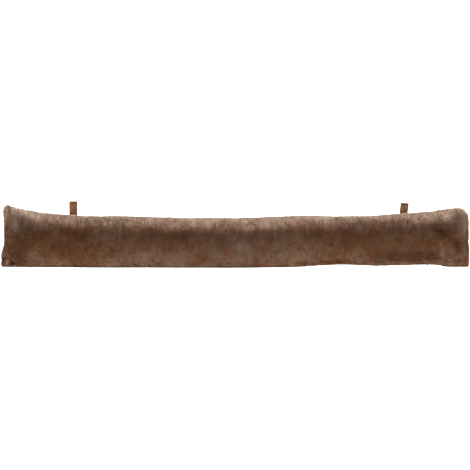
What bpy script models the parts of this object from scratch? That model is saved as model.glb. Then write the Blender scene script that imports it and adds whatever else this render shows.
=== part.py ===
"""Draught excluder of dense imitation fur, with two leather hanging loops.

It stands on the floor on its long underside, as it does against a door. +X runs along it, +Z is up,
and the origin is at the middle of the base of its box. Sizes are in metres unless a name or a
comment says otherwise. The fur's surface is where its pile ends.
"""

import math
from collections import namedtuple

import bmesh
import bpy
from mathutils import Matrix, Vector, noise

MM = 0.001

# The cover
LENGTH = 0.900
DEPTH = 0.092  # front to back, where the tube is full
CROWN_REACH = 0.115  # from an end to where the tube is full
CROWN_POWER = 1.8  # under 2, so the two faces leave the end's edge as a blunt wedge
RINGS_PER_HALF = 40
RING_POINTS = 40
RING_CROWDING = 1.8  # how much closer the rings stand towards an end
FIRST_RING = 0.0003  # from the end
FLOOR_SOFTNESS = 0.0025  # how gently the pressed underside turns into the sides
LONG_SEAM_ANGLE = math.radians(81)  # just behind the crest, seen from the left end
LONG_SEAM_DEPTH = 0.0012
LONG_SEAM_SPREAD = math.radians(5)

# The outline along the tube, in mm: its top, and how far its round underside would reach below
# the floor if nothing pressed it flat. Less than nothing is a stretch that is off the floor.
Outline = namedtuple("Outline", "along top sunk")
OUTLINE = (
    Outline(-450, 120, 3),
    Outline(-437, 120, 4),
    Outline(-414, 114.5, 5),
    Outline(-394, 110, 5),
    Outline(-375, 105.5, 4),
    Outline(-337, 101, 3),
    Outline(-298, 99, 4),
    Outline(-260, 97.5, 6),
    Outline(-220, 98, 7),
    Outline(-145, 96.5, 8),
    Outline(-68, 94.5, 8),
    Outline(38, 95, 7),
    Outline(96, 98, 2),
    Outline(144, 98, -3),
    Outline(182, 97, -5),
    Outline(221, 98.5, -5),
    Outline(269, 99, -3),
    Outline(317, 101.5, -4),
    Outline(375, 106.5, -5),
    Outline(394, 110, -4),
    Outline(413, 113, 1),
    Outline(432, 115.5, 4),
    Outline(450, 116.5, 3),
)

# The ends, in mm: where the middle of each is, how deep the line of sewing draws it in, how far
# that line is from the edge and how wide the furrow is.
End = namedtuple("End", "side middle seam_depth seam_inset seam_spread")
ENDS = (
    End(-1, -443.5, 4.0, 7.0, 3.2),
    End(1, 448.5, 1.2, 9.0, 4.0),
)

# The corners, in mm: how far in from the end, and how far down or up, each is rounded off, how far
# it sticks out past the middle of its end, and at what share of the half height that starts.
Corner = namedtuple("Corner", "side upper reach drop out starts")
CORNERS = (
    Corner(-1, True, 10, 10, 1.5, 0.45),
    Corner(-1, False, 5, 6, 6.5, 0.15),
    Corner(1, True, 23, 23, 0.0, 0.5),
    Corner(1, False, 8, 8, 1.5, 0.0),
)
CORNER_EASE = 0.45  # the share of the half height over which a corner comes out
CORNER_FADE = 0.022

# Creases of the front, in mm and degrees: where the middle is, its length and slope, and its
# depth and softness.
Crease = namedtuple("Crease", "along height length slope depth spread")
CREASES = (
    Crease(-434, 14, 24, -22, 3.5, 3.5),
    Crease(-408, 62, 60, 78, 1.6, 12),
    Crease(-355, 84, 46, -12, 1.5, 9),
    Crease(402, 66, 56, -34, 2.6, 9),
    Crease(424, 40, 34, -84, 2.4, 8),
    Crease(384, 22, 60, 8, 2.2, 6),
)

# The uneven filling: the size of its lumps and how far they stand out.
Lumps = namedtuple("Lumps", "size height shift")
LUMPS = (
    Lumps(0.085, 0.0022, 3.7),
    Lumps(0.032, 0.0008, 9.1),
)

# The hanging loops
STRAP_WIDTH = 0.015
STRAP_THICKNESS = 0.002
STRAP_CORNER = 0.0004
LOOP_BEND = 0.0045  # radius of the fold, to the middle of the strap
LEG_GAP = 0.0008  # between the two legs where they are sewn in
LEG_STEPS = 7
FOLD_STEPS = 10
LOOP_BACK = 0.0075  # how far behind the crest the loops are sewn in
ROOT_DEPTH = 0.008  # how far the legs go down into the pile
CLEARANCE = 0.0004
POCKET_ABOVE = 0.012

# Where each loop is, how far it stands out of the pile and how far it leans to the right.
Loop = namedtuple("Loop", "name along stands lean")
LOOPS = (
    Loop("loop_left", -0.3115, 0.0275, 0.0),
    Loop("loop_right", 0.3235, 0.0220, 7.0),
)

FUR_COLOUR = (0.14, 0.075, 0.043, 1.0)
LEATHER_COLOUR = (0.20, 0.078, 0.026, 1.0)


def clear_scene():
    for thing in list(bpy.data.objects):
        bpy.data.objects.remove(thing)


def collection(name):
    made = bpy.data.collections.new(name)
    bpy.context.scene.collection.children.link(made)
    return made


def material(name, colour, roughness):
    made = bpy.data.materials.new(name)
    made.use_nodes = True
    shader = made.node_tree.nodes["Principled BSDF"]
    shader.inputs["Base Color"].default_value = colour
    shader.inputs["Roughness"].default_value = roughness
    shader.inputs["Metallic"].default_value = 0.0
    made.diffuse_color = colour
    return made


def object_from(shape, name, home, finish=None):
    """A new object in the collection home, from a bmesh that is then freed."""
    mesh = bpy.data.meshes.new(name)
    shape.to_mesh(mesh)
    shape.free()
    made = bpy.data.objects.new(name, mesh)
    home.objects.link(made)
    if finish:
        mesh.materials.append(finish)
    return made


def hump(distance, spread):
    return math.exp(-((distance / spread) ** 2))


def outline_at(along, column):
    """A column of OUTLINE at a place along the tube, in metres, on a smooth curve through its rows."""
    place = min(max(along / MM, OUTLINE[0].along), OUTLINE[-1].along)
    last = len(OUTLINE) - 1
    low = max(i for i in range(last) if OUTLINE[i].along <= place)

    def slope(i):
        before, after = OUTLINE[max(i - 1, 0)], OUTLINE[min(i + 1, last)]
        rise = getattr(after, column) - getattr(before, column)
        return rise / (after.along - before.along)

    first, second = OUTLINE[low], OUTLINE[low + 1]
    span = second.along - first.along
    t = (place - first.along) / span
    rise = getattr(second, column) - getattr(first, column)
    eased = t * t * (3 - 2 * t)
    leaving = slope(low) * span * t * (1 - t) ** 2
    arriving = slope(low + 1) * span * t * t * (t - 1)
    return (getattr(first, column) + rise * eased + leaving + arriving) * MM


def corner_of(side, upper):
    return next(c for c in CORNERS if (c.side, c.upper) == (side, upper))


def corner_loss(corner, inward):
    """How much a corner's rounding takes off the height, this far in from its end."""
    share = min(inward / (corner.reach * MM), 1.0)
    return corner.drop * MM * (1 - math.sqrt(1 - (1 - share) ** 2))


def corner_reach(corner, rise, inward):
    """How far a point moves outwards, rise being -1 at the bottom of the end and 1 at its top."""
    share = min(max((abs(rise) - corner.starts) / CORNER_EASE, 0.0), 1.0)
    eased = share * share * (3 - 2 * share)
    return corner.side * corner.out * MM * eased * math.exp(-inward / CORNER_FADE)


def fullness(inward):
    """The share of the full depth that the tube has, this far in from its end."""
    share = min(inward / CROWN_REACH, 1.0)
    return (1 - (1 - share) ** CROWN_POWER) ** (1 / CROWN_POWER)


def squareness(inward):
    """The section's superellipse power: nearly round, a lens by the end and blunt at its edge."""
    return 2.15 - 0.65 * hump(inward - 0.030, 0.035) + 0.5 * math.exp(-inward / 0.008)


def signed_power(value, power):
    return math.copysign(abs(value) ** power, value)


def crease_depth(along, height):
    """How deep the front's creases are at a place, from the distance to each one's line."""
    depth = 0.0
    for crease in CREASES:
        slope = math.radians(crease.slope)
        east, up = along / MM - crease.along, height / MM - crease.height
        lengthwise = east * math.cos(slope) + up * math.sin(slope)
        across = up * math.cos(slope) - east * math.sin(slope)
        past = max(abs(lengthwise) - crease.length / 2, 0)
        depth += crease.depth * MM * hump(math.hypot(across, past), crease.spread)
    return depth


def lump_height(place):
    return sum(
        lumps.height * noise.noise(place / lumps.size + Vector((lumps.shift, 0, 0)))
        for lumps in LUMPS
    )


def pressed(height):
    """A height once the floor has pressed the underside flat."""
    if height <= -FLOOR_SOFTNESS:
        return 0.0
    if height >= FLOOR_SOFTNESS:
        return height
    return (height + FLOOR_SOFTNESS) ** 2 / (4 * FLOOR_SOFTNESS)


def cover_point(end, inward, angle):
    """A point of the stuffed cover, angle being 0 at its front and a right angle at its crest."""
    along = end.middle * MM - end.side * inward
    upper, lower = corner_of(end.side, True), corner_of(end.side, False)
    top = outline_at(along, "top") - corner_loss(upper, inward)
    bottom = -outline_at(along, "sunk") + corner_loss(lower, inward)
    middle, half_height = (top + bottom) / 2, (top - bottom) / 2
    furrow = hump(inward - end.seam_inset * MM, end.seam_spread * MM)
    half_depth = DEPTH / 2 * fullness(inward) - end.seam_depth * MM * furrow
    power = 2 / squareness(inward)
    y = -half_depth * signed_power(math.cos(angle), power)
    rise = signed_power(math.sin(angle), power)
    z = middle + half_height * rise

    out = Vector((0, y / half_depth**2, (z - middle) / half_height**2)).normalized()
    swell = lump_height(Vector((along, y, z))) * fullness(inward)
    if y < 0:
        swell -= crease_depth(along, z) * abs(out.y)
    behind_crest = math.pi - angle
    swell -= LONG_SEAM_DEPTH * hump(behind_crest - LONG_SEAM_ANGLE, LONG_SEAM_SPREAD)
    sideways = corner_reach(upper if rise > 0 else lower, rise, inward)
    placed = Vector((along + sideways, y, z)) + out * swell
    placed.z = pressed(placed.z)
    return placed


def cover_sections():
    """The cover's sections from its left end to its right, each a ring of points from its crest on."""
    left, right = ENDS
    half_way = (right.middle + left.middle) / 2 * MM
    sections = []
    for step in range(-RINGS_PER_HALF, RINGS_PER_HALF + 1):
        end = left if step < 0 else right
        share = (1 - abs(step) / RINGS_PER_HALF) ** RING_CROWDING
        span = abs(end.middle * MM - half_way) - FIRST_RING
        inward = FIRST_RING + span * share
        angles = (math.pi / 2 + 2 * math.pi * i / RING_POINTS for i in range(RING_POINTS))
        sections.append([cover_point(end, inward, angle) for angle in angles])
    return sections


def fitted(sections):
    """The same sections, at exactly LENGTH along, with the middle of their box over the origin."""
    points = [point for section in sections for point in section]
    left, right = min(p.x for p in points), max(p.x for p in points)
    front, back = min(p.y for p in points), max(p.y for p in points)
    scale = LENGTH / (right - left)
    for point in points:
        point.x = (point.x - (left + right) / 2) * scale
        point.y -= (front + back) / 2
    return sections


def make_cover(home, finish):
    """The stuffed cover: a loft through its sections, closed by a ladder of faces at each end."""
    shape = bmesh.new()
    rings = [[shape.verts.new(point) for point in ring] for ring in fitted(cover_sections())]
    for ring, after in zip(rings, rings[1:]):
        for i in range(RING_POINTS):
            shape.faces.new((ring[i - 1], ring[i], after[i], after[i - 1]))
    for ring in (rings[0], rings[-1]):
        for i in range(RING_POINTS // 2):
            corners = dict.fromkeys((ring[i], ring[i + 1], ring[-i - 1], ring[-i]))
            shape.faces.new(tuple(corners))
    bmesh.ops.recalc_face_normals(shape, faces=shape.faces)
    cover = object_from(shape, "fur_cover", home, finish)
    cover.data.shade_smooth()
    return cover


def strap_path(rise):
    """The loop's middle line from one root to the other, seen from its side, rise being its height."""
    root = LEG_GAP / 2 + STRAP_THICKNESS / 2
    bend_height = rise - LOOP_BEND - STRAP_THICKNESS / 2
    leg = []
    for i in range(LEG_STEPS):
        t = i / LEG_STEPS
        spread = root + (LOOP_BEND - root) * t * t * (3 - 2 * t)
        leg.append(Vector((spread, bend_height * t)))
    fold = []
    for i in range(FOLD_STEPS + 1):
        turn = math.pi * i / FOLD_STEPS
        fold.append(Vector((LOOP_BEND * math.cos(turn), bend_height + LOOP_BEND * math.sin(turn))))
    far_leg = [Vector((-p.x, p.y)) for p in reversed(leg)]
    return leg + fold + far_leg


def loop_place(loop):
    """Where a loop's root is, in the pile behind the crest, and how it leans."""
    root = Vector((loop.along, LOOP_BACK, outline_at(loop.along, "top") - ROOT_DEPTH))
    return Matrix.Translation(root) @ Matrix.Rotation(math.radians(loop.lean), 4, "Y")


def make_loop(loop, home, finish):
    """A folded strap: a flat grid bent along its path, given its thickness and soft edges."""
    path = strap_path(ROOT_DEPTH + loop.stands)
    shape = bmesh.new()
    bmesh.ops.create_grid(shape, x_segments=2, y_segments=len(path) - 1, size=1.0)
    for vertex in shape.verts:
        step = round((vertex.co.y + 1) / 2 * (len(path) - 1))
        across = vertex.co.x * STRAP_WIDTH / 2
        vertex.co = Vector((across, path[step].x, path[step].y))
    strap = object_from(shape, loop.name, home, finish)
    strap.data.shade_smooth()
    strap.matrix_world = loop_place(loop)
    thick = strap.modifiers.new("thickness", "SOLIDIFY")
    thick.thickness = STRAP_THICKNESS
    thick.offset = 0
    thick.use_even_offset = True
    edge = strap.modifiers.new("soft edges", "BEVEL")
    edge.width = STRAP_CORNER
    edge.segments = 1
    edge.limit_method = "ANGLE"
    edge.angle_limit = math.radians(60)
    edge.harden_normals = True
    return strap


def make_pocket(loop, cover, home):
    """The slit in the pile that a loop's legs stand in, cut from the cover."""
    legs = 2 * STRAP_THICKNESS + LEG_GAP
    wide = STRAP_WIDTH + 2 * CLEARANCE
    deep = legs + 2 * STRAP_THICKNESS
    low, high = -CLEARANCE, ROOT_DEPTH + POCKET_ABOVE
    shape = bmesh.new()
    bmesh.ops.create_cube(shape, size=1.0)
    bmesh.ops.scale(shape, vec=(wide, deep, high - low), verts=shape.verts)
    bmesh.ops.translate(shape, vec=(0, 0, (high + low) / 2), verts=shape.verts)
    pocket = object_from(shape, "pocket_" + loop.name, home)
    pocket.matrix_world = loop_place(loop)
    pocket.hide_render = True
    pocket.display_type = "WIRE"
    cut = cover.modifiers.new("pocket of " + loop.name, "BOOLEAN")
    cut.operation = "DIFFERENCE"
    cut.object = pocket


def main():
    clear_scene()
    part = collection("draught_excluder")
    cutters = collection("cutters")
    fur = material("imitation fur", FUR_COLOUR, 0.85)
    leather = material("leather", LEATHER_COLOUR, 0.6)
    cover = make_cover(part, fur)
    for loop in LOOPS:
        make_loop(loop, part, leather)
        make_pocket(loop, cover, cutters)


main()
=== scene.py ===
"""The looks of a draught excluder of imitation fur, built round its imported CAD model.

A stuffed backing takes the place of the CAD cover, a dense pile of fur tufts grows from it to the
CAD cover's surface, and two folded leather straps take the place of the CAD loops. +X runs along
the tube, the camera looks along +Y, +Z is up, and sizes are in metres.
"""

import math
from collections import namedtuple

import bmesh
import bpy
import numpy as np
from bpy.props import (
    FloatProperty,
    FloatVectorProperty,
    IntProperty,
    PointerProperty,
)
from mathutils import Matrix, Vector, kdtree, noise
from mathutils.bvhtree import BVHTree


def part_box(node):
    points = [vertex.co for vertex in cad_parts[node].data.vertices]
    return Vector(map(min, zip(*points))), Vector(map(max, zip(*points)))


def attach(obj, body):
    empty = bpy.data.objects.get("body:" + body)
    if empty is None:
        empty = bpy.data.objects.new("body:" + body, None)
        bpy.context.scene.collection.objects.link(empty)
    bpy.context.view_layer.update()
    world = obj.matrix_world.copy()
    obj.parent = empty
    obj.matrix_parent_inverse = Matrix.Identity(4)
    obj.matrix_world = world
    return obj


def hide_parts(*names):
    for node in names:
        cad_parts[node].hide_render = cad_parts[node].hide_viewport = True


bl_info = {
    "name": "Draught Excluder",
    "version": (1, 0, 0),
    "blender": (4, 5, 0),
    "location": "3D View > Sidebar > Draught",
    "description": "Dresses a draught excluder with imitation fur and leather loops",
    "category": "Object",
}

MM = 0.001
BODY = "root"
COVER_NODE = "fur_cover"

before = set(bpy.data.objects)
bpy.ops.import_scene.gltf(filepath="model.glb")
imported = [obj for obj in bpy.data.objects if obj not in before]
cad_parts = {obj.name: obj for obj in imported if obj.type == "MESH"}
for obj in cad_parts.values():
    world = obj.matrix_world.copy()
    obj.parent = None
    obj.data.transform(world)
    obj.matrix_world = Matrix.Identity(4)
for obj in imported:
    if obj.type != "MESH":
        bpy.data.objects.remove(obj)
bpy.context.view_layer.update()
COVER_LOW, COVER_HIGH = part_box(COVER_NODE)

# A strap stands on its root, the middle of the seam that its two legs are sewn into.
Strap = namedtuple("Strap", "node root rise lean")
STRAPS = (
    Strap("loop_left", Vector((-311.5, 7.5, 91.53)) * MM, 35.5 * MM, 0.0),
    Strap("loop_right", Vector((323.5, 7.5, 93.99)) * MM, 30.0 * MM, math.radians(7)),
)
STRAP_WIDTH = 15 * MM
STRAP_THICKNESS = 2 * MM
FOLD_RADIUS = 4.5 * MM

# The slit in the CAD cover that each strap stands in.
SLIT_SIZE = Vector((20, 12, 14)) * MM
SLIT_COVER = 1.5 * MM

# The seam across each end: which end, how far in it is, how wide its parting is, and how strongly
# the fur parts there, from 0 to 1.
EndSeam = namedtuple("EndSeam", "side inset spread parting")
END_SEAMS = (
    EndSeam(-1, 13.8 * MM, 5 * MM, 1.0),
    EndSeam(1, 10.5 * MM, 5 * MM, 0.3),
)

# Painted light and shade on the front: lines along which the fur is made paler or darker to stand
# in for how the light falls on it, with painted highlights on the top corners and painted shade in
# creases, seam partings and along the turn of the ends; the darkest also press the fur down. Each
# gives the middle of a line in millimetres, its length and slope in degrees, how far its shade
# fades out on each side, and how much paler it makes the fur, from -1 to 1.
Stroke = namedtuple("Stroke", "along height length slope spread shade")
STROKES = (
    Stroke(-436, 74, 44, 90, 1.8, -0.5),
    Stroke(-436, 34, 30, 90, 2.5, -0.3),
    Stroke(-443, 50, 50, 90, 5, -0.25),
    Stroke(-446, 60, 60, 90, 3.5, 0.35),
    Stroke(-442, 109, 26, 90, 7, 0.6),
    Stroke(-438, 17, 13, -13, 2.8, -0.5),
    Stroke(-427, 11, 12, -37, 2.8, -0.45),
    Stroke(-441, 7, 12, 0, 4, 0.14),
    Stroke(-404, 105, 56, -13, 11, 0.17),
    Stroke(-420, 96, 24, 90, 12, 0.48),
    Stroke(-370, 109, 90, -8.6, 7, -0.22),
    Stroke(-410, 34, 30, 90, 14, -0.22),
    Stroke(-220, 93, 150, 0, 9, -0.08),
    Stroke(-270, 90, 24, 0, 6, -0.14),
    Stroke(-5, 85, 34, 0, 7, -0.18),
    Stroke(-80, 40, 200, 0, 20, 0.09),
    Stroke(80, 42, 130, 0, 20, 0.16),
    Stroke(200, 87, 190, 0, 8, -0.12),
    Stroke(270, 86, 60, 0, 10, -0.18),
    Stroke(318, 91, 24, 0, 6, -0.14),
    Stroke(190, 12, 50, 0, 6, -0.22),
    Stroke(318, 27, 110, 0, 18, -0.25),
    Stroke(421, 101, 36, 6, 14, 0.36),
    Stroke(385, 110, 90, 8.5, 5, -0.12),
    Stroke(448, 60, 60, 90, 2.5, 0.15),
    Stroke(436, 88, 36, 80, 10, 0.35),
    Stroke(403, 66, 44, -32, 6, -0.22),
    Stroke(425, 45, 12, -85, 5, -0.25),
    Stroke(441, 56, 50, 90, 5, 0.15),
    Stroke(430, 22, 8, 0, 6, 0.2),
)

FLOOR_GAP = 3 * MM  # what the flattened pile leaves under the backing
PILE_PIECES = 5
UV_NAME = "OFBake"
TUFT_VERTICES = 5
TUFT_FACES = ((1, 2, 4), (2, 3, 4), (3, 1, 4), (2, 1, 0), (3, 2, 0), (1, 3, 0))


def linear(hex_colour):
    """A Blender colour from sRGB hex digits such as 7d502d."""
    shares = [int(hex_colour[i : i + 2], 16) / 255 for i in (0, 2, 4)]
    return [s / 12.92 if s <= 0.04045 else ((s + 0.055) / 1.055) ** 2.4 for s in shares] + [1.0]


def length_of(name, description, default_mm):
    return FloatProperty(
        name=name,
        description=description,
        default=default_mm * MM,
        min=0.0,
        precision=4,
        subtype="DISTANCE",
        unit="LENGTH",
    )


def share_of(name, description, default):
    return FloatProperty(
        name=name, description=description, default=default, min=0.0, max=1.0, subtype="FACTOR"
    )


def angle_of(name, description, default_degrees):
    return FloatProperty(
        name=name,
        description=description,
        default=math.radians(default_degrees),
        subtype="ANGLE",
        unit="ROTATION",
    )


def colour_of(name, description, default_hex):
    return FloatVectorProperty(
        name=name,
        description=description,
        default=linear(default_hex),
        size=4,
        min=0.0,
        max=1.0,
        subtype="COLOR",
    )


class BackingSettings(bpy.types.PropertyGroup):
    inset: length_of("Pile Depth", "How far the backing lies inside the pile's surface", 9)
    voxel: length_of("Mesh Step", "Size of the backing's even mesh", 5.5)
    swell: length_of("Most Swell", "How far the filling may push the backing", 3)
    pressure: FloatProperty(
        name="Pressure", description="How hard the filling presses on the backing", default=4.0
    )
    fill: share_of("Fill", "How tightly the tube is stuffed", 0.8)


class PileSettings(bpy.types.PropertyGroup):
    tufts: IntProperty(name="Tufts", description="Tufts on the whole cover", default=144000)
    width: length_of("Tuft Width", "Width of a tuft where it is widest", 1.15)
    lean: FloatProperty(
        name="Lean", description="How far a tip lies over, in pile depths", default=1.6
    )
    clump_size: length_of("Clump Size", "Distance between the clumps the tufts form", 5.5)
    clumping: share_of("Clumping", "How far tips are drawn to the middle of a clump", 0.16)
    wander: angle_of("Wander", "How far the nap turns from straight round the tube", 42)
    shadow: colour_of("Shadow Colour", "Darkest tufts", "5e331b")
    body: colour_of("Body Colour", "Tufts of the usual colour", "99643f")
    frost: colour_of("Frost Colour", "Pale tufts", "b89b88")
    # Painted highlight: the palest tufts, on the corners, the crest and in front of the straps,
    # stand for light falling there.
    painted_highlight: colour_of("Worn Colour", "Palest tufts, worn at the corners", "dfc0ac")
    warm: colour_of("Warm Cast", "Tints most of the tufts", "f8f2e5")
    # The grey cast goes on random tufts of the blend, and more often on the crest, rims and along
    # the floor as painted sheen.
    grey: colour_of("Grey Cast", "Tints the rest, which are most of those on top", "d7f4ec")
    seed: IntProperty(name="Seed", description="Start of the random draws", default=11)


class LoopSettings(bpy.types.PropertyGroup):
    leg_gap: length_of("Leg Gap", "Gap between the legs where they are sewn in", 0.8)
    rounding: length_of("Edge Rounding", "Radius of the strap's worn edges", 0.5)
    hide: colour_of("Hide Colour", "The strap's usual colour", "8e5624")
    edge: colour_of("Edge Colour", "The burnished edges", "5a3822")


class StageSettings(bpy.types.PropertyGroup):
    distance: length_of("Camera Distance", "From the camera to the object", 2510)
    lens: FloatProperty(name="Lens", description="Focal length", default=100.0, unit="CAMERA")
    elevation: angle_of("Camera Elevation", "How far the camera looks down", 3)
    aim_height: length_of("Aim Height", "Height of the picture's middle", 61.7)
    light: FloatProperty(name="Light", description="Strength of the soft light", default=6.1)
    light_tilt: angle_of("Light Tilt", "How far behind the object the soft light hangs", 33)
    light_width: angle_of("Light Width", "How wide the soft light looks from the object", 22)
    room: share_of("Room", "Light from the room above the white walls", 0.05)
    table: FloatProperty(name="Table", description="Glow of the light table", default=2.0)


class DraughtSettings(bpy.types.PropertyGroup):
    backing: PointerProperty(type=BackingSettings)
    pile: PointerProperty(type=PileSettings)
    loops: PointerProperty(type=LoopSettings)
    stage: PointerProperty(type=StageSettings)


def select_only(thing):
    bpy.ops.object.select_all(action="DESELECT")
    thing.select_set(True)
    bpy.context.view_layer.objects.active = thing


def apply_modifier(thing, kind, **settings):
    """Adds a modifier with these settings and applies it."""
    select_only(thing)
    modifier = thing.modifiers.new(kind.lower(), kind)
    for name, value in settings.items():
        setattr(modifier, name, value)
    bpy.ops.object.modifier_apply(modifier=modifier.name)


def new_object(name, mesh):
    made = bpy.data.objects.new(name, mesh)
    bpy.context.scene.collection.objects.link(made)
    return made


def finish_piece(piece, nodes):
    """Puts the piece on the body it rides on, and hides the CAD parts that it takes the place of.
    """
    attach(piece, BODY)
    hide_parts(*nodes)


def add_node(tree, kind, inputs=None, stops=None, **settings):
    """Adds a node with its settings. inputs gives a socket a value, or a link from an output."""
    made = tree.nodes.new(kind)
    for name, value in settings.items():
        setattr(made, name, value)
    for name, value in (inputs or {}).items():
        if isinstance(value, bpy.types.NodeSocket):
            tree.links.new(value, made.inputs[name])
        else:
            made.inputs[name].default_value = value
    if stops:
        elements = made.color_ramp.elements
        while len(elements) < len(stops):
            elements.new(0.5)
        for element, (place, colour) in zip(elements, stops):
            element.position = place
            element.color = colour
    return made


def new_material(name):
    """A material without nodes yet, and its node tree."""
    material = bpy.data.materials.new(name)
    material.use_nodes = True
    material.node_tree.nodes.clear()
    return material, material.node_tree


def set_surface(tree, colour, **inputs):
    """The Principled shader: colour is a link, and the rest are numbers or links by socket."""
    named = {name.replace("_", " "): value for name, value in inputs.items()}
    shader = add_node(tree, "ShaderNodeBsdfPrincipled", {"Base Color": colour, **named})
    add_node(tree, "ShaderNodeOutputMaterial", {"Surface": shader.outputs["BSDF"]})


def fur_material(sizes):
    """Modacrylic imitation fur: crimped fibres, with painted shade darkening them towards the root,
    paler at the tip.

    Its map holds the pattern: across it from root to tip, and up it from the darkest tuft to the
    palest, first for the warm fibres of the blend and then for the grey ones, which also carry
    painted sheen on the crest and rims. The sheen is the frosting of light that fine fibres catch
    where the fur turns away.
    """
    material, tree = new_material("modacrylic_fur_pile")
    places = add_node(tree, "ShaderNodeUVMap", uv_map=UV_NAME)
    split = add_node(tree, "ShaderNodeSeparateXYZ", {"Vector": places.outputs["UV"]})
    grey = add_node(
        tree, "ShaderNodeMath", {0: split.outputs["Y"], 1: 0.5}, operation="GREATER_THAN"
    )
    cast = add_node(
        tree,
        "ShaderNodeMix",
        {"Factor": grey.outputs["Value"], "A": sizes.warm, "B": sizes.grey},
        data_type="RGBA",
    )
    shade = add_node(tree, "ShaderNodeMath", {0: split.outputs["Y"], 1: 0.5}, operation="MODULO")
    tone = add_node(
        tree,
        "ShaderNodeValToRGB",
        {"Fac": shade.outputs["Value"]},
        stops=((0.05, sizes.shadow), (0.25, sizes.body), (0.4, sizes.frost), (0.49, sizes.painted_highlight)),
    )
    dyed = add_node(
        tree,
        "ShaderNodeMix",
        {"Factor": 1.0, "A": tone.outputs["Color"], "B": cast.outputs["Result"]},
        data_type="RGBA",
        blend_type="MULTIPLY",
    )
    # Painted shade: each tuft darkens towards its root, deep in the pile.
    depth = add_node(
        tree,
        "ShaderNodeValToRGB",
        {"Fac": split.outputs["X"]},
        stops=((0.0, linear("6a6360")), (0.5, linear("d2ccc8")), (1.0, linear("ffffff"))),
    )
    colour = add_node(
        tree,
        "ShaderNodeMix",
        {"Factor": 1.0, "A": dyed.outputs["Result"], "B": depth.outputs["Color"]},
        data_type="RGBA",
        blend_type="MULTIPLY",
    )
    set_surface(
        tree,
        colour.outputs["Result"],
        Roughness=0.6,
        Specular_IOR_Level=0.3,
        Sheen_Weight=0.15,
        Sheen_Roughness=0.45,
        Sheen_Tint=linear("f4e6cc"),
    )
    return material


def backing_material():
    """Knitted polyester backing, dyed to match: a dull dark ground in the partings of the pile,
    darker than the fur as painted shade.
    """
    material, tree = new_material("knitted_polyester_backing")
    places = add_node(tree, "ShaderNodeTexCoord")
    mottle = add_node(
        tree,
        "ShaderNodeTexNoise",
        {"Vector": places.outputs["Object"], "Scale": 1 / (12 * MM), "Detail": 3.0},
    )
    colour = add_node(
        tree,
        "ShaderNodeValToRGB",
        {"Fac": mottle.outputs["Fac"]},
        stops=((0.3, linear("38241a")), (0.7, linear("4c3324"))),
    )
    set_surface(tree, colour.outputs["Color"], Roughness=0.95)
    return material


def leather_material(sizes):
    """Vegetable-tanned cowhide strap, dyed through and waxed: a low sheen, a fine pebbled grain,
    and edges that burnishing and wear have darkened."""
    material, tree = new_material("waxed_cowhide_strap")
    places = add_node(tree, "ShaderNodeTexCoord")
    cloud = add_node(
        tree,
        "ShaderNodeTexNoise",
        {"Vector": places.outputs["Object"], "Scale": 1 / (5 * MM), "Detail": 4.0},
    )
    shade = add_node(
        tree,
        "ShaderNodeValToRGB",
        {"Fac": cloud.outputs["Fac"]},
        stops=((0.3, linear("b9a890")), (0.7, linear("ffffff"))),
    )
    hide = add_node(
        tree,
        "ShaderNodeMix",
        {"Factor": 1.0, "A": sizes.hide, "B": shade.outputs["Color"]},
        data_type="RGBA",
        blend_type="MULTIPLY",
    )
    rim = add_node(tree, "ShaderNodeAttribute", attribute_name="rim")
    colour = add_node(
        tree,
        "ShaderNodeMix",
        {"Factor": rim.outputs["Fac"], "A": hide.outputs["Result"], "B": sizes.edge},
        data_type="RGBA",
    )
    # Full-grain pebbles are about 0.5 mm across, and are drawn twice that so that they show.
    grain = add_node(
        tree,
        "ShaderNodeTexVoronoi",
        {"Vector": places.outputs["Object"], "Scale": 1 / (1.0 * MM)},
    )
    bump = add_node(
        tree,
        "ShaderNodeBump",
        {"Height": grain.outputs["Distance"], "Strength": 0.35, "Distance": 0.15 * MM},
    )
    wear = add_node(
        tree,
        "ShaderNodeMapRange",
        {"Value": cloud.outputs["Fac"], "To Min": 0.45, "To Max": 0.62},
    )
    set_surface(
        tree,
        colour.outputs["Result"],
        Roughness=wear.outputs["Result"],
        Normal=bump.outputs["Normal"],
    )
    return material


def outer_skin(name):
    """A copy of the CAD cover as one closed mesh, with the slits for the straps filled in."""
    shape = bmesh.new()
    shape.from_mesh(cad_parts[COVER_NODE].data)
    bmesh.ops.remove_doubles(shape, verts=shape.verts, dist=0.02 * MM)
    mesh = bpy.data.meshes.new(name)
    shape.to_mesh(mesh)
    shape.free()
    skin = new_object(name, mesh)
    for strap in STRAPS:
        top = surface_above(skin, strap.root)
        bpy.ops.object.select_all(action="DESELECT")
        bpy.ops.mesh.primitive_cube_add(size=1.0)
        plug = bpy.context.object
        plug.scale = SLIT_SIZE
        plug.location = (strap.root.x, strap.root.y, top - SLIT_COVER - SLIT_SIZE.z / 2)
        bpy.ops.object.transform_apply(location=True, rotation=False, scale=True)
        apply_modifier(skin, "BOOLEAN", operation="UNION", object=plug, solver="EXACT")
        bpy.data.objects.remove(plug)
    return skin


def surface_above(skin, place):
    """Height of the cover's top beside a slit."""
    tops = []
    for side in (-1, 1):
        start = Vector((place.x + side * SLIT_SIZE.x / 2, place.y, 1.0))
        tops.append(skin.ray_cast(start, Vector((0, 0, -1)))[1].z)
    return min(tops)


def tree_of(thing):
    """A search tree of an object's mesh."""
    mesh = thing.data
    return BVHTree.FromPolygons(
        [v.co for v in mesh.vertices], [tuple(p.vertices) for p in mesh.polygons]
    )


def read_vectors(mesh, kind):
    """The vertices' co or normal, as rows."""
    values = np.empty(len(mesh.vertices) * 3, np.float32)
    mesh.vertices.foreach_get(kind, values)
    return values.reshape(-1, 3)


def write_places(mesh, places):
    mesh.vertices.foreach_set("co", places.astype(np.float32).ravel())
    mesh.update()


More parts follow.
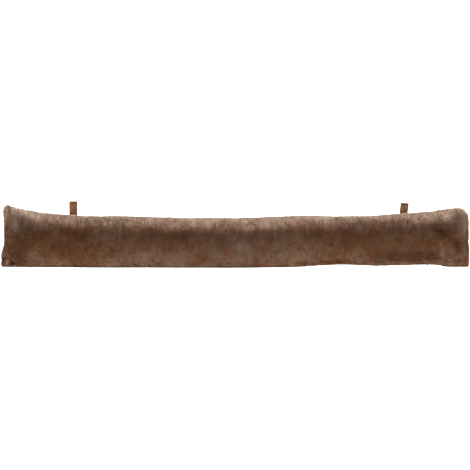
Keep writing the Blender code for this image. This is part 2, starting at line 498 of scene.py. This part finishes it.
def draw_in(cover, inset):
    """Moves the surface in by the pile's depth, and less where the tube is thin, lies down or
    ends."""
    solid = tree_of(cover)
    places = []
    for vertex in cover.data.vertices:
        inwards = -vertex.normal
        hit = solid.ray_cast(vertex.co + inwards * 0.2 * MM, inwards)
        thickness = hit[3] if hit[0] else inset
        lifted = min(max(vertex.co.z / (14 * MM), 0.0), 1.0)
        past_end = min(vertex.co.x - COVER_LOW.x, COVER_HIGH.x - vertex.co.x) / (25 * MM)
        depth = FLOOR_GAP + (inset - FLOOR_GAP) * lifted * min(0.35 + 0.65 * past_end, 1.0)
        places.append(vertex.co + inwards * min(depth, thickness * 0.36))
    write_places(cover.data, np.array(places))


def inflate(cover, pressure, swell):
    """Lets the filling press the backing out, no further than swell, and off the floor."""
    start = read_vectors(cover.data, "co")
    select_only(cover)
    cloth = cover.modifiers.new("stuffing", "CLOTH")
    cloth.settings.quality = 6
    cloth.settings.mass = 0.25
    cloth.settings.tension_stiffness = 12
    cloth.settings.compression_stiffness = 12
    cloth.settings.bending_stiffness = 0.4
    cloth.settings.use_pressure = True
    cloth.settings.uniform_pressure_force = pressure
    cloth.settings.effector_weights.gravity = 0.0
    scene = bpy.context.scene
    for number in range(1, 21):
        scene.frame_set(number)
    bpy.ops.object.modifier_apply(modifier=cloth.name)
    scene.frame_set(1)
    move = read_vectors(cover.data, "co") - start
    far = np.linalg.norm(move, axis=1, keepdims=True)
    place = start + move * np.minimum(1.0, swell / np.maximum(far, 1e-9))
    place[:, 2] = np.maximum(place[:, 2], FLOOR_GAP)
    write_places(cover.data, place)


def settle(cover):
    """Lets the stuffed backing sink onto the flattened pile, so that no light shows under it."""
    places = read_vectors(cover.data, "co")
    places[:, 2] -= 3.5 * MM * (1 - places[:, 2] / (20 * MM)).clip(0, 1)
    places[:, 2] = np.maximum(places[:, 2], 2 * MM)
    write_places(cover.data, places)


class DRAUGHT_OT_backing(bpy.types.Operator):
    """Makes the stuffed backing that the pile grows from"""

    bl_idname = "draught.backing"
    bl_label = "Stuffed Backing"

    def execute(self, context):
        sizes = context.scene.draught.backing
        cover = outer_skin("cover_backing")
        apply_modifier(cover, "REMESH", mode="VOXEL", voxel_size=sizes.voxel)
        draw_in(cover, sizes.inset)
        apply_modifier(cover, "SMOOTH", factor=0.5, iterations=3)
        inflate(cover, sizes.pressure, sizes.swell)
        settle(cover)
        apply_modifier(cover, "SUBSURF", levels=1, render_levels=1)
        cover.data.materials.clear()
        cover.data.materials.append(backing_material())
        cover.data.shade_smooth()
        finish_piece(cover, [COVER_NODE])
        return {"FINISHED"}


def unit(vectors):
    return vectors / np.maximum(np.linalg.norm(vectors, axis=-1, keepdims=True), 1e-12)


def lumps(places, size, shift):
    """Smooth noise, mostly from -1 to 1, with lumps of this size."""
    shifted = places / size + (shift, 0, 0)
    return 1.6 * np.array([noise.noise(place) for place in shifted])


class Hull:
    """The CAD cover's surface, where the tips of the fur end, and what a tuft asks of it."""

    def __init__(self, reach):
        skin = outer_skin("pile_hull")
        mesh = skin.data
        self.tree = tree_of(skin)
        self.place = read_vectors(mesh, "co").astype(float)
        self.normal = read_vectors(mesh, "normal").astype(float)
        mesh.calc_loop_triangles()
        self.faces = np.empty(len(mesh.loop_triangles) * 3, np.int32)
        mesh.loop_triangles.foreach_get("vertices", self.faces)
        self.faces = self.faces.reshape(-1, 3)
        corners = self.place[self.faces]
        sides = np.cross(corners[:, 1] - corners[:, 0], corners[:, 2] - corners[:, 0])
        self.area = np.linalg.norm(sides, axis=1).cumsum() / 2
        self.depth = np.array([self.pile_depth(v, reach) for v in mesh.vertices])
        bpy.data.objects.remove(skin)

    def pile_depth(self, vertex, reach):
        """How deep the pile is here: less where the tube is thin and where it lies down."""
        inwards = -vertex.normal
        hit = self.tree.ray_cast(vertex.co + inwards * 0.3 * MM, inwards)
        thickness = hit[3] if hit[0] else reach
        lifted = min(max(vertex.co.z / (12 * MM), 0.0), 1.0)
        return min(FLOOR_GAP + (reach - FLOOR_GAP) * lifted, thickness * 0.42)

    def spread(self, count, random):
        """Places spread evenly over the surface, with their normals and pile depths."""
        at = (np.arange(count) + random.random(count)) / count * self.area[-1]
        found = np.searchsorted(self.area, at).clip(0, len(self.faces) - 1)
        corners = self.faces[found]
        step = np.arange(count)[:, None] * (0.7548776662, 0.5698402910) % 1
        over = step.sum(1) > 1
        step[over] = 1 - step[over]
        share = np.concatenate([step, 1 - step.sum(1, keepdims=True)], 1)
        places = (self.place[corners] * share[..., None]).sum(1)
        normals = unit((self.normal[corners] * share[..., None]).sum(1))
        depths = (self.depth[corners] * share).sum(1)
        return places, normals, depths


def strokes(places, normals):
    """How much paler or darker each place on the front is painted by the strokes: painted light and
    shade.
    """
    shade = np.zeros(len(places))
    for stroke in STROKES:
        slope = math.radians(stroke.slope)
        east = places[:, 0] / MM - stroke.along
        up = places[:, 2] / MM - stroke.height
        past = np.maximum(
            np.abs(east * math.cos(slope) + up * math.sin(slope)) - stroke.length / 2, 0
        )
        across = up * math.cos(slope) - east * math.sin(slope)
        shade += stroke.shade * np.exp(-(past**2 + across**2) / stroke.spread**2)
    return shade * (1 - 2 * normals[:, 1]).clip(0, 1)


def naps(places, normals, wander):
    """The way the fur lies: round the tube and up its front, parted at the end seams."""
    along = np.array((1.0, 0.0, 0.0))
    down = np.array((0.0, 0.0, -1.0))
    round_tube = unit(np.cross(along, normals) + 0.6 * normals[:, :1] ** 2 * down)
    across = np.cross(normals, round_tube)
    turn = 0.7 * lumps(places, 60 * MM, 1.7) + 0.5 * lumps(places, 17 * MM, 4.4)
    turn = (wander * turn)[:, None]
    nap = across * np.sin(turn) - round_tube * np.cos(turn)
    for seam in END_SEAMS:
        end = (COVER_LOW if seam.side < 0 else COVER_HIGH).x
        past = places[:, :1] - (end - seam.side * seam.inset)
        part = seam.parting * np.exp(-((past / (1.6 * seam.spread)) ** 2))
        nap = nap * (1 - part) + np.sign(past) * part * along
    return unit(nap - normals * (nap * normals).sum(1, keepdims=True))


def hold_inside(hull, points, limit):
    """Draws points that stand out of the hull back to this height over it, or below it."""
    for index, (point, most) in enumerate(zip(points, limit)):
        near, normal, _, _ = hull.find_nearest(Vector(point))
        out = (Vector(point) - near).dot(normal) - most
        if out > 0:
            points[index] -= np.array(normal) * out


class DRAUGHT_OT_pile(bpy.types.Operator):
    """Grows the pile, a dense coat of closed tufts, in pieces along the tube"""

    bl_idname = "draught.pile"
    bl_label = "Fur Pile"

    def execute(self, context):
        sizes = context.scene.draught.pile
        hull = Hull(context.scene.draught.backing.inset)
        random = np.random.default_rng(sizes.seed)
        tips, normals, depths = self.clear_of_straps(hull.spread(sizes.tufts, random))
        count = len(tips)
        nap = naps(tips, normals, sizes.wander)
        first, second = self.clumps(tips, hull.area[-1], sizes.clump_size, random)
        clump = np.where(random.random(count) < 0.35, second, first)
        clumps = clump.max() + 1
        twist = random.normal(0.0, 0.25, clumps)[clump] + random.normal(0.0, 0.3, count)
        ways = nap * np.cos(twist)[:, None] + np.cross(normals, nap) * np.sin(twist)[:, None]
        # Painted light and shade from the strokes; where they are darkest, the fur is also sunk and
        # lies over less.
        painted_strokes = strokes(tips, normals)
        lean = sizes.lean * (1 + 0.3 * lumps(tips, 30 * MM, 2.9)) * random.uniform(0.8, 1.2, count)
        lean *= 1 - 0.6 * (-2.5 * painted_strokes).clip(0, 1)
        roots = tips - normals * depths[:, None] - ways * (lean * depths)[:, None]
        hold_inside(hull.tree, roots, np.full(count, -1.5 * MM))
        sunk = 0.45 * lumps(tips, 14 * MM, 6.2) + random.uniform(-0.5, 0.5, clumps)[clump]
        sunk *= 1 - 0.7 * smooth_step((2 * normals[:, 2] - 0.6).clip(0, 1))
        sunk = sunk * depths / (9 * MM) * 0.9 * MM + random.uniform(-0.5, 0.4, count) * MM
        sunk += 1.5 * MM * np.maximum(-painted_strokes - 0.2, 0) - self.fan(tips, depths)
        tips = tips - normals * sunk[:, None]
        middles = np.zeros((clumps, 3))
        np.add.at(middles, clump, tips)
        middles /= np.maximum(np.bincount(clump, minlength=clumps), 1)[:, None]
        drawn = sizes.clumping * random.uniform(0.4, 1.5, count)[:, None]
        tips += (middles[clump] - tips) * drawn
        elbows = roots * 0.38 + tips * 0.62 + normals * (0.17 * depths)[:, None]
        self.part_at_straps(elbows, tips)
        hold_inside(hull.tree, elbows, np.full(count, -0.4 * MM))
        radius = sizes.width / 2 * random.uniform(0.7, 1.2, count)
        radius *= 1.5 - 0.5 * (depths / (9 * MM)).clip(0, 1)
        elbows[:, 2] = np.maximum(elbows[:, 2], radius * 1.05)
        tips[:, 2] = np.maximum(tips[:, 2], radius * 0.4)
        shades, grey_fibres_and_sheen = self.shades(tips, normals)
        shades += painted_strokes
        shades += 0.04 * random.normal(0.0, 1.0, clumps)[clump]
        shades = (shades + 0.06 * random.normal(0.0, 1.0, count)).clip(0.02, 0.98) / 2
        # Tufts grey by chance, or as painted sheen on the crest and rims, take the grey half of the
        # map.
        shades += (grey_fibres_and_sheen > random.random(count)) / 2
        self.build(self.tufts(roots, elbows, tips, radius, random), shades)
        return {"FINISHED"}

    @staticmethod
    def shades(tips, normals):
        """How pale the tufts are, and what share of them is grey: random patches and mottling, a
        painted highlight on top, a painted band under it, painted light under the belly, painted
        shadow along the floor, a painted highlight in front of each strap's foot, and painted sheen
        on crest and rims."""
        mottle = lumps(tips * (1.0, 0.6, 0.6), 10 * MM, 3.3)
        shades = 0.5 + 0.08 * lumps(tips, 80 * MM, 5.3) + 0.06 * lumps(tips, 26 * MM, 8.1)
        rise = normals[:, 2]
        # Painted highlight: tufts facing up are made paler, with a ragged edge, where the light
        # falls on the top; the mottling is stronger there.
        painted_top_highlight = smooth_step((2.2 * (rise - 0.42) + 0.45 * mottle).clip(0, 1))
        # Painted light: tufts facing down are made paler and a little greyer, where the glowing
        # floor lights the belly.
        painted_floor_light = (-1.5 * rise).clip(0, 1)
        # Painted shadow: tufts near the floor are made darker, and greyer.
        painted_floor_shadow = (1 - tips[:, 2] / (7 * MM)).clip(0, 1)
        # Painted highlight: the tufts in front of each strap's foot are made paler, as if lit past
        # the strap.
        for strap in STRAPS:
            beside = (tips - strap.root - (0, -4 * MM, 10 * MM)) / (11 * MM, 9 * MM, 10 * MM)
            shades += 0.3 * (1.4 - np.linalg.norm(beside, axis=1)).clip(0, 0.6)
        mottling = 0.08 + 0.06 * painted_top_highlight
        shades += mottling * mottle + 0.1 * painted_top_highlight + 0.15 * painted_floor_light - 0.3 * painted_floor_shadow
        # Painted light: a band of tufts just under the top is made a little paler and less grey.
        painted_band_light = np.exp(-(((rise - 0.4) / 0.28) ** 2))
        grey_fibres_and_sheen = 0.04 + 0.06 * lumps(tips, 34 * MM, 9.6) - 0.1 * painted_band_light + 0.05 * painted_floor_light
        shades += 0.04 * painted_band_light
        # Painted sheen: tufts turned side-on to the front along the rims are more often grey, as
        # are those on the crest.
        rim = np.exp(-((normals[:, 1] / 0.3) ** 2))
        return shades, grey_fibres_and_sheen + 0.5 * rise.clip(0, 1) ** 4 + 0.5 * rim + painted_floor_shadow

    @staticmethod
    def fan(tips, depths):
        """How far the fur stands out past its depth along folds and seams, where it is thin."""
        thin = (1 - depths / (9 * MM)).clip(0, 1) * (tips[:, 2] / (12 * MM)).clip(0, 1)
        return 2 * MM * thin * (1 + 0.6 * lumps(tips, 11 * MM, 7.7)) + 1.1 * MM

    @staticmethod
    def clear_of_straps(values):
        """Leaves out the tufts that would stand in a strap."""
        tips = values[0]
        keep = np.ones(len(tips), bool)
        for strap in STRAPS:
            beside = np.abs(tips - strap.root)
            keep &= (beside > (STRAP_WIDTH / 2, STRAP_THICKNESS * 1.3, 20 * MM)).any(1)
        return [value[keep] for value in values]

    @staticmethod
    def clumps(roots, area, spacing, random):
        """The two clumps nearest to each tuft."""
        seeds = random.choice(len(roots), int(area / spacing**2), replace=False)
        finder = kdtree.KDTree(len(seeds))
        for number, root in enumerate(roots[seeds]):
            finder.insert(root, number)
        finder.balance()
        pairs = np.array([[found[1] for found in finder.find_n(root, 2)] for root in roots])
        return pairs[:, 0], pairs[:, 1]

    @staticmethod
    def part_at_straps(*rows):
        """Keeps the tufts beside a strap's legs from running through them."""
        for strap in STRAPS:
            for points in rows:
                beside = points - strap.root
                near = (np.abs(beside) < (STRAP_WIDTH / 2 + 1.5 * MM, 8 * MM, 20 * MM)).all(1)
                legs = STRAP_THICKNESS * 1.5 + 0.12 * np.maximum(beside[:, 2], 0)
                gap = np.maximum(np.abs(beside[:, 1]), legs)
                side = np.where(beside[:, 1] > 0, 1, -1)
                points[near, 1] = (strap.root.y + side * gap)[near]
                front = (np.abs(beside[:, 0]) < STRAP_WIDTH * 0.4) & (side < 0) & (beside[:, 2] > 0)
                risen = 2 * MM * np.exp(-((beside[:, 1] / (9 * MM)) ** 2))
                points[front, 2] += risen[front]

    @staticmethod
    def tufts(roots, elbows, tips, radius, random):
        """The five corners of each tuft: its root, three round its elbow, and its tip."""
        along = unit(tips - roots)
        one = unit(np.cross(along, random.normal(0.0, 1.0, roots.shape)))
        two = np.cross(along, one)
        ring = []
        for third in range(3):
            turn = third * 2 * math.pi / 3
            ring.append(elbows + (one * math.cos(turn) + two * math.sin(turn)) * radius[:, None])
        return np.stack([roots - along * 0.4 * MM, *ring, tips], 1)

    @staticmethod
    def build(points, shades):
        """Joined meshes of closed tufts, each holding its stretch of the tube."""
        order = np.argsort(points[:, 0, 0], kind="stable")
        finish = fur_material(bpy.context.scene.draught.pile)
        faces_each = len(TUFT_FACES)
        across = np.where(np.array(TUFT_FACES).ravel() == 4, 0.98, 0.5)
        across = np.where(np.array(TUFT_FACES).ravel() == 0, 0.02, across)
        up = np.tile((-0.003, 0.003, 0.0), faces_each)
        for number, chosen in enumerate(np.array_split(order, PILE_PIECES), 1):
            count = len(chosen)
            corners = np.arange(count)[:, None, None] * TUFT_VERTICES + np.array(TUFT_FACES)
            mesh = bpy.data.meshes.new(f"pile_{number}")
            mesh.vertices.add(count * TUFT_VERTICES)
            mesh.loops.add(count * faces_each * 3)
            mesh.loops.foreach_set("vertex_index", corners.astype(np.int32).ravel())
            mesh.polygons.add(count * faces_each)
            starts = np.arange(0, count * faces_each * 3, 3, dtype=np.int32)
            mesh.polygons.foreach_set("loop_start", starts)
            write_places(mesh, points[chosen])
            mesh.update(calc_edges=True)
            layer = mesh.uv_layers.new(name=UV_NAME)
            places = np.empty((count, faces_each * 3, 2), np.float32)
            places[:, :, 0] = across
            places[:, :, 1] = shades[chosen, None] + up
            layer.uv.foreach_set("vector", places.ravel())
            mesh.shade_smooth()
            mesh.materials.append(finish)
            finish_piece(new_object(f"pile_{number}", mesh), [COVER_NODE])


def smooth_step(share):
    return share * share * (3 - 2 * share)


def fold_strap(strap, sizes):
    """A row of edges, extruded up one leg, spun over the fold and extruded down the other."""
    root_half = (sizes.leg_gap + STRAP_THICKNESS) / 2
    leg = strap.rise - FOLD_RADIUS - STRAP_THICKNESS / 2
    steps = 10
    path = []
    for step in range(steps + 1):
        share = step / steps
        half = root_half + (FOLD_RADIUS - root_half) * smooth_step(share)
        path.append(Vector((0, -half, leg * share)))
    bpy.ops.object.select_all(action="DESELECT")
    bpy.ops.mesh.primitive_plane_add(size=STRAP_WIDTH)
    piece = bpy.context.object
    piece.name = piece.data.name = strap.node + "_strap"
    bpy.ops.object.mode_set(mode="EDIT")
    shape = bmesh.from_edit_mesh(piece.data)
    for vertex in shape.verts:
        vertex.select_set(vertex.co.y > 0)
    shape.select_flush_mode()
    bpy.ops.mesh.delete(type="VERT")
    bpy.ops.mesh.select_all(action="SELECT")
    bpy.ops.mesh.subdivide(number_cuts=7)
    start = strap.root + path[0] + Vector((0, STRAP_WIDTH / 2, 0))
    bpy.ops.transform.translate(value=start)
    for one, two in zip(path, path[1:]):
        bpy.ops.mesh.extrude_edges_move(TRANSFORM_OT_translate={"value": two - one})
    middle = strap.root + Vector((0, 0, leg))
    bpy.ops.mesh.spin(steps=10, angle=math.pi, center=middle, axis=(1, 0, 0))
    for one, two in zip(path[::-1], path[-2::-1]):
        step = two - one
        step.y = -step.y
        bpy.ops.mesh.extrude_edges_move(TRANSFORM_OT_translate={"value": step})
    bpy.ops.mesh.select_all(action="SELECT")
    bpy.ops.mesh.remove_doubles(threshold=0.01 * MM)
    bpy.ops.mesh.normals_make_consistent(inside=False)
    if strap.lean:
        bpy.ops.transform.rotate(
            value=-strap.lean, orient_axis="Y", center_override=tuple(strap.root)
        )
    bpy.ops.object.mode_set(mode="OBJECT")
    bpy.ops.object.transform_apply(location=True, rotation=True, scale=True)
    apply_modifier(piece, "SOLIDIFY", thickness=STRAP_THICKNESS, offset=0.0)
    apply_modifier(piece, "BEVEL", width=sizes.rounding, segments=2, limit_method="ANGLE")
    apply_modifier(piece, "SUBSURF", levels=1, render_levels=1)
    return piece


def mark_rim(piece, strap):
    """How near each point is to the strap's two long edges, from 0 to 1."""
    across = Vector((math.cos(strap.lean), 0, -math.sin(strap.lean)))
    places = read_vectors(piece.data, "co") - np.array(strap.root)
    inside = STRAP_WIDTH / 2 - np.abs(places @ np.array(across))
    rim = 1 - smooth_step((inside / (1.1 * MM)).clip(0, 1))
    layer = piece.data.attributes.new("rim", "FLOAT", "POINT")
    layer.data.foreach_set("value", rim.astype(np.float32))


class DRAUGHT_OT_loops(bpy.types.Operator):
    """Folds the two leather straps and stands them in the pile"""

    bl_idname = "draught.loops"
    bl_label = "Leather Loops"

    def execute(self, context):
        sizes = context.scene.draught.loops
        finish = leather_material(sizes)
        for strap in STRAPS:
            piece = fold_strap(strap, sizes)
            mark_rim(piece, strap)
            piece.data.materials.append(finish)
            piece.data.shade_smooth()
            # The straps are kept from casting shadows on the fur.
            piece.visible_shadow = False
            finish_piece(piece, [strap.node])
        return {"FINISHED"}


def floor_material(glow):
    """Opal acrylic of a light table: a matt, faintly clouded sheet that glows white from below."""
    material, tree = new_material("opal_acrylic_light_table")
    places = add_node(tree, "ShaderNodeTexCoord")
    cloud = add_node(
        tree,
        "ShaderNodeTexNoise",
        {"Vector": places.outputs["Object"], "Scale": 1 / 0.4, "Detail": 2.0},
    )
    colour = add_node(
        tree,
        "ShaderNodeValToRGB",
        {"Fac": cloud.outputs["Fac"]},
        stops=((0.0, linear("949392")), (1.0, linear("9a9998"))),
    )
    set_surface(
        tree,
        colour.outputs["Color"],
        Roughness=0.9,
        Emission_Color=linear("ffffff"),
        Emission_Strength=glow,
    )
    return material


class DRAUGHT_OT_stage(bpy.types.Operator):
    """Sets the floor, the white walls, the soft light and the camera"""

    bl_idname = "draught.stage"
    bl_label = "Stage"

    def execute(self, context):
        sizes = context.scene.draught.stage
        self.add_floor(sizes)
        self.add_light(sizes)
        self.add_walls(sizes)
        self.add_camera(sizes)
        context.scene.view_settings.view_transform = "Standard"
        return {"FINISHED"}

    @staticmethod
    def add_floor(sizes):
        bpy.ops.object.select_all(action="DESELECT")
        bpy.ops.mesh.primitive_plane_add(size=80.0)
        floor = bpy.context.object
        floor.name = floor.data.name = "floor"
        floor.data.materials.append(floor_material(sizes.table))

    @staticmethod
    def add_light(sizes):
        """One broad soft light overhead, a little behind the object."""
        light = bpy.data.lights.new("soft_overhead", "SUN")
        light.energy = sizes.light
        light.angle = sizes.light_width
        lamp = new_object("soft_overhead", light)
        lamp.location = (0, 1, 2)
        lamp.rotation_euler = (-sizes.light_tilt, 0, 0)

    @staticmethod
    def add_walls(sizes):
        """White walls all round to a little over the horizon, and a dim room above them."""
        world = bpy.data.worlds.new("studio")
        world.use_nodes = True
        tree = world.node_tree
        tree.nodes.clear()
        way = add_node(tree, "ShaderNodeTexCoord")
        split = add_node(tree, "ShaderNodeSeparateXYZ", {"Vector": way.outputs["Generated"]})
        wall = add_node(
            tree,
            "ShaderNodeMapRange",
            {
                "Value": split.outputs["Z"],
                "From Min": math.sin(math.radians(8)),
                "From Max": math.sin(math.radians(13)),
                "To Min": 1.05,
                "To Max": sizes.room,
            },
            interpolation_type="SMOOTHSTEP",
        )
        surround = add_node(
            tree,
            "ShaderNodeBackground",
            {"Color": linear("ffffff"), "Strength": wall.outputs["Result"]},
        )
        add_node(tree, "ShaderNodeOutputWorld", {"Surface": surround.outputs["Background"]})
        bpy.context.scene.world = world

    @staticmethod
    def add_camera(sizes):
        camera = bpy.data.cameras.new("camera")
        camera.lens = sizes.lens
        view = new_object("camera", camera)
        back = Vector((0, -math.cos(sizes.elevation), math.sin(sizes.elevation)))
        view.location = Vector((0, 0, sizes.aim_height)) + back * sizes.distance
        view.rotation_euler = (math.pi / 2 - sizes.elevation, 0, 0)
        bpy.context.scene.camera = view


class DRAUGHT_PT_panel(bpy.types.Panel):
    bl_label = "Draught Excluder"
    bl_idname = "DRAUGHT_PT_panel"
    bl_space_type = "VIEW_3D"
    bl_region_type = "UI"
    bl_category = "Draught"

    def draw(self, context):
        settings = context.scene.draught
        steps = (
            ("draught.stage", settings.stage),
            ("draught.backing", settings.backing),
            ("draught.pile", settings.pile),
            ("draught.loops", settings.loops),
        )
        for step, sizes in steps:
            box = self.layout.box()
            box.operator(step)
            for name in sizes.__annotations__:
                box.prop(sizes, name)


CLASSES = (
    BackingSettings,
    PileSettings,
    LoopSettings,
    StageSettings,
    DraughtSettings,
    DRAUGHT_OT_backing,
    DRAUGHT_OT_pile,
    DRAUGHT_OT_loops,
    DRAUGHT_OT_stage,
    DRAUGHT_PT_panel,
)


def register():
    for kind in CLASSES:
        bpy.utils.register_class(kind)
    bpy.types.Scene.draught = PointerProperty(type=DraughtSettings)


def unregister():
    del bpy.types.Scene.draught
    for kind in reversed(CLASSES):
        bpy.utils.unregister_class(kind)


def main():
    register()
    bpy.ops.draught.stage()
    bpy.ops.draught.backing()
    bpy.ops.draught.pile()
    bpy.ops.draught.loops()


if __name__ == "__main__":
    main()
